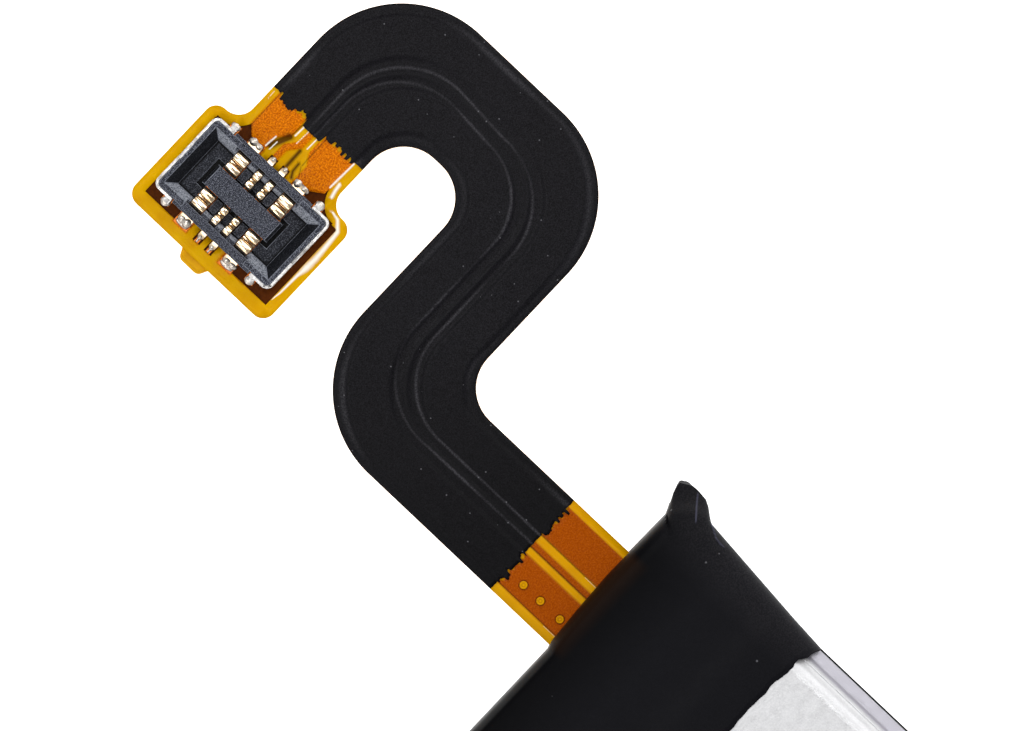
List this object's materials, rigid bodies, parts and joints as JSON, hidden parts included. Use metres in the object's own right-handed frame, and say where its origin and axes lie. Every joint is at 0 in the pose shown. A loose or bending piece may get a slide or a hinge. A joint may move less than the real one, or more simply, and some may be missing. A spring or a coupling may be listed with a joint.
{
  "type": "mobile phone battery",
  "caption": "Flat pouch battery for a mobile phone with a taped end cap and a flexible printed circuit tail that ends in a board-to-board receptacle.",
  "frame": {"origin": "middle of the flat back face", "axes": "+Y to the end with the flexible circuit, +Z to the bare pouch face and the mating face of the receptacle"},
  "size_m": [0.0496, 0.1002, 0.005],
  "materials": {
    "pouch_laminate": "satin silver laminate",
    "back_film": "satin black film",
    "end_tape": "satin black tape",
    "foam": "matt foam",
    "circuit_board": "solder mask",
    "aluminium_tab": "rolled",
    "nickel": "rolled nickel",
    "tab_seal": "translucent polymer",
    "chip_package": "moulded",
    "chip_ceramic": "fired ceramic",
    "polyimide": "amber polyimide",
    "copper": "etched copper",
    "cover_film": "amber film over copper",
    "black_film": "fine-grained black film",
    "housing_plastic": "glass-filled moulding",
    "gold_contact": "gold plated",
    "solder": "bright solder",
    "tinned_strap": "bright tin"
  },
  "bodies": {
    "root": {"anchor_pads": "copper", "black_cover_film": "black_film", "board_pad": "foam", "chip_capacitors": "chip_ceramic", "chip_resistors": "chip_package", "connector_housing": "housing_plastic", "contact_solder": "solder", "coverlay": "cover_film", "end_tape": "end_tape", "flex_base": "polyimide", "head_stiffener": "polyimide", "hold_down_front": "tinned_strap", "hold_down_rear": "tinned_strap", "label_wrap": "back_film", "negative_copper": "copper", "negative_tab": "nickel", "negative_tab_seal": "tab_seal", "negative_weld_plate": "nickel", "plated_vias": "copper", "positive_copper": "copper", "positive_tab": "aluminium_tab", "positive_tab_seal": "tab_seal", "positive_weld_plate": "nickel", "pouch_cell": "pouch_laminate", "power_contact_left_1": "gold_contact", "power_contact_left_4": "gold_contact", "power_contact_right_1": "gold_contact", "power_contact_right_4": "gold_contact", "protection_board": "circuit_board", "protection_chip": "chip_package", "signal_contact_left_2": "gold_contact", "signal_contact_left_3": "gold_contact", "signal_contact_right_2": "gold_contact", "signal_contact_right_3": "gold_contact", "signal_copper": "copper", "switch_transistors": "chip_package", "thermal_cutoff": "chip_package", "thermistor": "chip_ceramic"}
  },
  "joints": []
}
